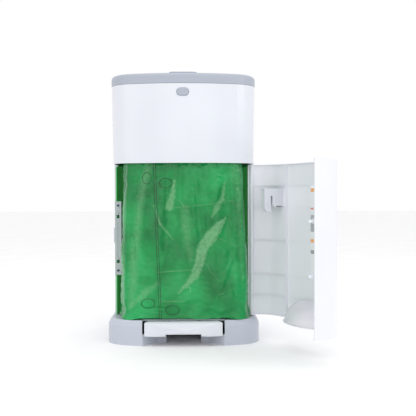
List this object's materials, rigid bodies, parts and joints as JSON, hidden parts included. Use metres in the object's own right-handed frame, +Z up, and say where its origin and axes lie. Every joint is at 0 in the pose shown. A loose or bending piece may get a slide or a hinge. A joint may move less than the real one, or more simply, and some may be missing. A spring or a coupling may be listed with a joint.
{
  "type": "dog waste bin",
  "caption": "Pedal-operated dog waste bin with a flip lid, trap flaps, a liner cassette in the collar and a side-hinged front door open on a hanging green liner bag.",
  "frame": {"origin": "on the floor under the middle of the body, in the plane of the plinth's underside", "axes": "+Z up, -Y towards the front with the pedal and the door, +X to the side with the door's hinge"},
  "size_m": [0.4433, 0.4854, 0.5655],
  "materials": {
    "white_shell": "gloss",
    "white_part": "satin",
    "grey_lid": "satin",
    "grey_base": "satin",
    "green_wall": "satin",
    "green_film": "gloss",
    "clear_scoop": "satin",
    "grey_latch": "satin",
    "steel": "satin",
    "rubber": "matte",
    "label": "satin",
    "inner_plastic": "satin"
  },
  "bodies": {
    "root": {"base": "grey_base", "foot_pads": "rubber", "base_screws": "steel", "body_shell": "white_shell", "inner_liner": "green_wall", "latch_housing": "grey_latch", "latch_plate": "grey_latch", "latch_screws": "steel", "latch_spring": "steel", "door_hinge_pins": "steel", "collar": "white_shell", "cassette_tray": "inner_plastic", "liner_cassette": "inner_plastic", "liner_pack": "green_film", "liner_bag": "green_film", "button_bracket": "inner_plastic", "button_spring": "steel", "rear_hood": "grey_lid", "lid_hinge_pin": "steel", "pedal_pin": "steel", "pedal_spring": "steel", "rod_guides": "green_wall"},
    "door": {"door_panel": "white_shell", "door_hooks": "white_part", "bag_scoop": "clear_scoop", "bag_cutter": "white_part", "cutter_blade": "steel", "instruction_label": "label"},
    "catch": {"catch_slider": "white_part"},
    "release": {"release_button": "grey_latch"},
    "pedal": {"pedal_tread": "white_part", "pedal_lever": "steel"},
    "rod": {"push_rod": "steel"},
    "frame": {"top_frame": "inner_plastic", "flap_pins": "steel", "flap_springs": "steel"},
    "flap_left": {"left_flap": "inner_plastic"},
    "flap_right": {"right_flap": "inner_plastic"},
    "lid": {"lid_shell": "grey_lid", "lid_inner": "grey_lid", "lid_seal": "rubber"},
    "lock": {"lid_lock": "grey_lid"},
    "button": {"front_button": "grey_lid"}
  },
  "joints": [
    {"name": "door_hinge", "type": "hinge", "parent": "root", "child": "door", "pos_m": [0.1445, -0.069, 0.2145], "axis": [0, 0, 1], "range_deg": [-112, 10], "deforming": ["liner_bag"]},
    {"name": "release_push", "type": "slide", "parent": "root", "child": "release", "axis": [1, 0, 0], "range_m": [0, 0.003], "stiffness_N_per_m": 600, "springref_m": -0.002},
    {"name": "catch_lift", "type": "slide", "parent": "root", "child": "catch", "axis": [0, 0, 1], "range_m": [0, 0.004], "deforming": ["latch_spring"]},
    {"name": "pedal_press", "type": "hinge", "parent": "root", "child": "pedal", "pos_m": [0, -0.03, 0.034], "axis": [1, 0, 0], "range_deg": [0, 8.5], "stiffness_Nm_per_rad": 1, "springref_deg": -17.19},
    {"name": "rod_lift", "type": "slide", "parent": "root", "child": "rod", "axis": [0, 0, 1], "range_m": [0, 0.0199]},
    {"name": "frame_open", "type": "hinge", "parent": "root", "child": "frame", "pos_m": [0, 0.118, 0.545], "axis": [-1, 0, 0], "range_deg": [0, 40]},
    {"name": "left_flap_drop", "type": "hinge", "parent": "frame", "child": "flap_left", "pos_m": [-0.084, 0, 0.5], "axis": [0, 1, 0], "range_deg": [0, 80], "stiffness_Nm_per_rad": 0.02, "springref_deg": -68.75},
    {"name": "right_flap_drop", "type": "hinge", "parent": "frame", "child": "flap_right", "pos_m": [0.084, 0, 0.5], "axis": [0, -1, 0], "range_deg": [0, 80], "stiffness_Nm_per_rad": 0.02, "springref_deg": -68.75},
    {"name": "lid_open", "type": "hinge", "parent": "frame", "child": "lid", "pos_m": [0, 0.118, 0.545], "axis": [-1, 0, 0], "range_deg": [0, 70]},
    {"name": "lock_slide", "type": "slide", "parent": "lid", "child": "lock", "axis": [1, 0, 0], "range_m": [0, 0.01]},
    {"name": "front_button_push", "type": "slide", "parent": "root", "child": "button", "axis": [0, 1, 0], "range_m": [0, 0.0025], "stiffness_N_per_m": 600, "springref_m": -0.002, "deforming": ["button_spring"]}
  ],
  "couplings": [
    {"joint": "catch_lift", "follows": "release_push", "ratio": 1.333},
    {"joint": "pedal_press", "follows": "lid_open", "ratio": 0.12143},
    {"joint": "rod_lift", "follows": "lid_open", "m_per_rad": 0.01619}
  ]
}
